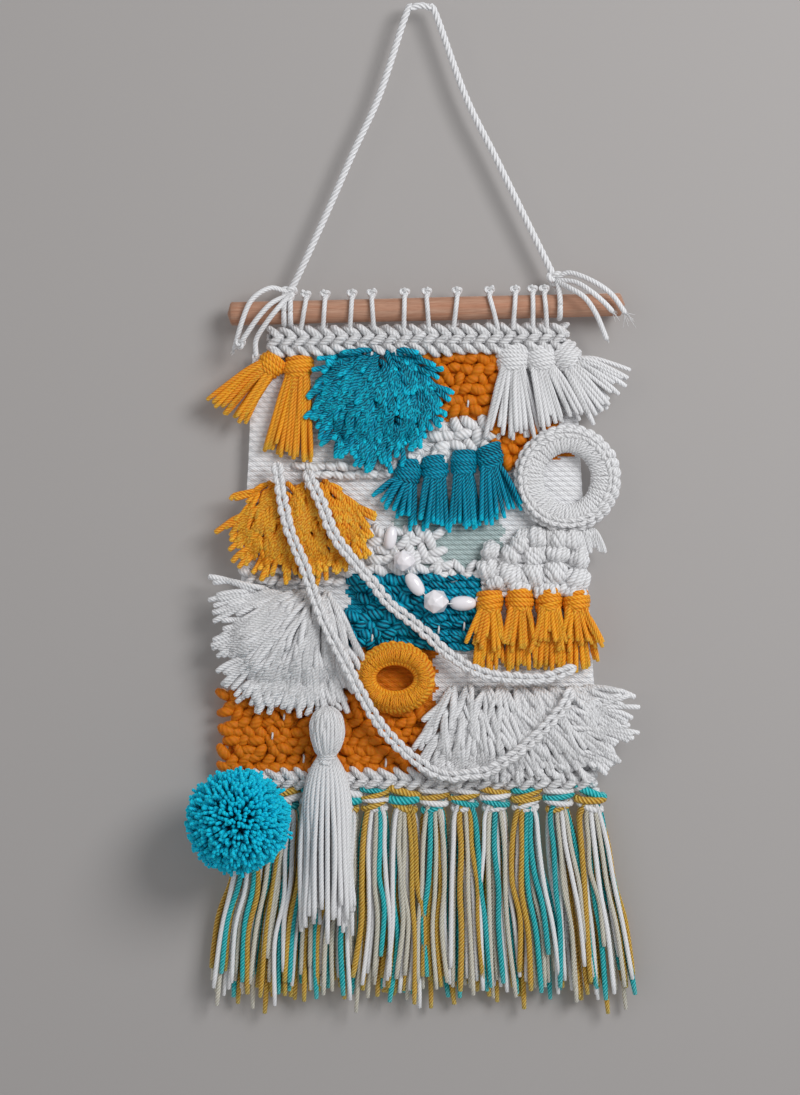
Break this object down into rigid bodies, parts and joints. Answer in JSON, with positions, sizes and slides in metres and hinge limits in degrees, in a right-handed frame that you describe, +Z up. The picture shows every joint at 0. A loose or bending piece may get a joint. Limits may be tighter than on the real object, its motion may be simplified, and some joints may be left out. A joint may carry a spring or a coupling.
{
  "type": "woven wall hanging on a wooden dowel rod",
  "caption": "Weaving of thick yarn on a wooden dowel with shag, tufts, braided rows, covered rings, crochet chains, beads, a pompom, a tassel and a knotted fringe, hung by a cord.",
  "frame": {"origin": "the point under the top of the hanging cord where a wall hook carries it", "axes": "+Z up, +X to the right seen from the front, +Y into the wall, so the front faces -Y"},
  "size_m": [0.2242, 0.0624, 0.5109],
  "materials": {
    "wood": "bare sanded",
    "yarn_white": "soft twisted yarn",
    "yarn_cream": "soft twisted yarn",
    "yarn_yellow": "soft twisted yarn",
    "yarn_orange": "soft twisted yarn",
    "yarn_teal": "soft twisted yarn",
    "yarn_aqua": "soft twisted yarn",
    "bead": "glossy pearl"
  },
  "bodies": {
    "root": {"dowel": "wood", "hanging_cord": "yarn_white", "cord_tie_left": "yarn_white", "cord_tie_right": "yarn_white", "woven_panel": "yarn_orange", "braid_head": "yarn_white", "braid_foot": "yarn_white", "teal_shag": "yarn_teal", "yellow_shag_left": "yarn_yellow", "white_shag_left": "yarn_white", "yellow_rya_right": "yarn_yellow", "white_shag_right": "yarn_white", "loop_pile": "yarn_white", "ring_white": "yarn_white", "ring_orange": "yarn_yellow", "tassel": "yarn_white", "pompom": "yarn_teal", "chain_outer": "yarn_white", "chain_inner": "yarn_white", "white_rya_row": "yarn_white", "yellow_tuft_1": "yarn_yellow", "yellow_tuft_2": "yarn_yellow", "warp_tie_01": "yarn_white", "warp_tie_02": "yarn_white", "warp_tie_03": "yarn_white", "warp_tie_04": "yarn_white", "warp_tie_05": "yarn_white", "warp_tie_06": "yarn_white", "warp_tie_07": "yarn_white", "warp_tie_08": "yarn_white", "warp_tie_09": "yarn_white", "warp_tie_10": "yarn_white", "warp_tie_11": "yarn_white", "white_tuft_1": "yarn_white", "white_tuft_2": "yarn_white", "white_tuft_3": "yarn_white", "teal_tuft_1": "yarn_teal", "teal_tuft_2": "yarn_teal", "teal_tuft_3": "yarn_teal", "teal_tuft_4": "yarn_teal", "fringe_01": "yarn_cream", "fringe_02": "yarn_yellow", "fringe_03": "yarn_cream", "fringe_04": "yarn_aqua", "fringe_05": "yarn_cream", "fringe_06": "yarn_white", "fringe_07": "yarn_cream", "fringe_08": "yarn_yellow", "fringe_09": "yarn_cream", "fringe_10": "yarn_aqua", "fringe_11": "yarn_cream", "fringe_12": "yarn_white", "bead_oval_1": "bead", "bead_facet_1": "bead", "bead_oval_2": "bead", "bead_facet_2": "bead", "bead_oval_3": "bead"}
  },
  "joints": []
}
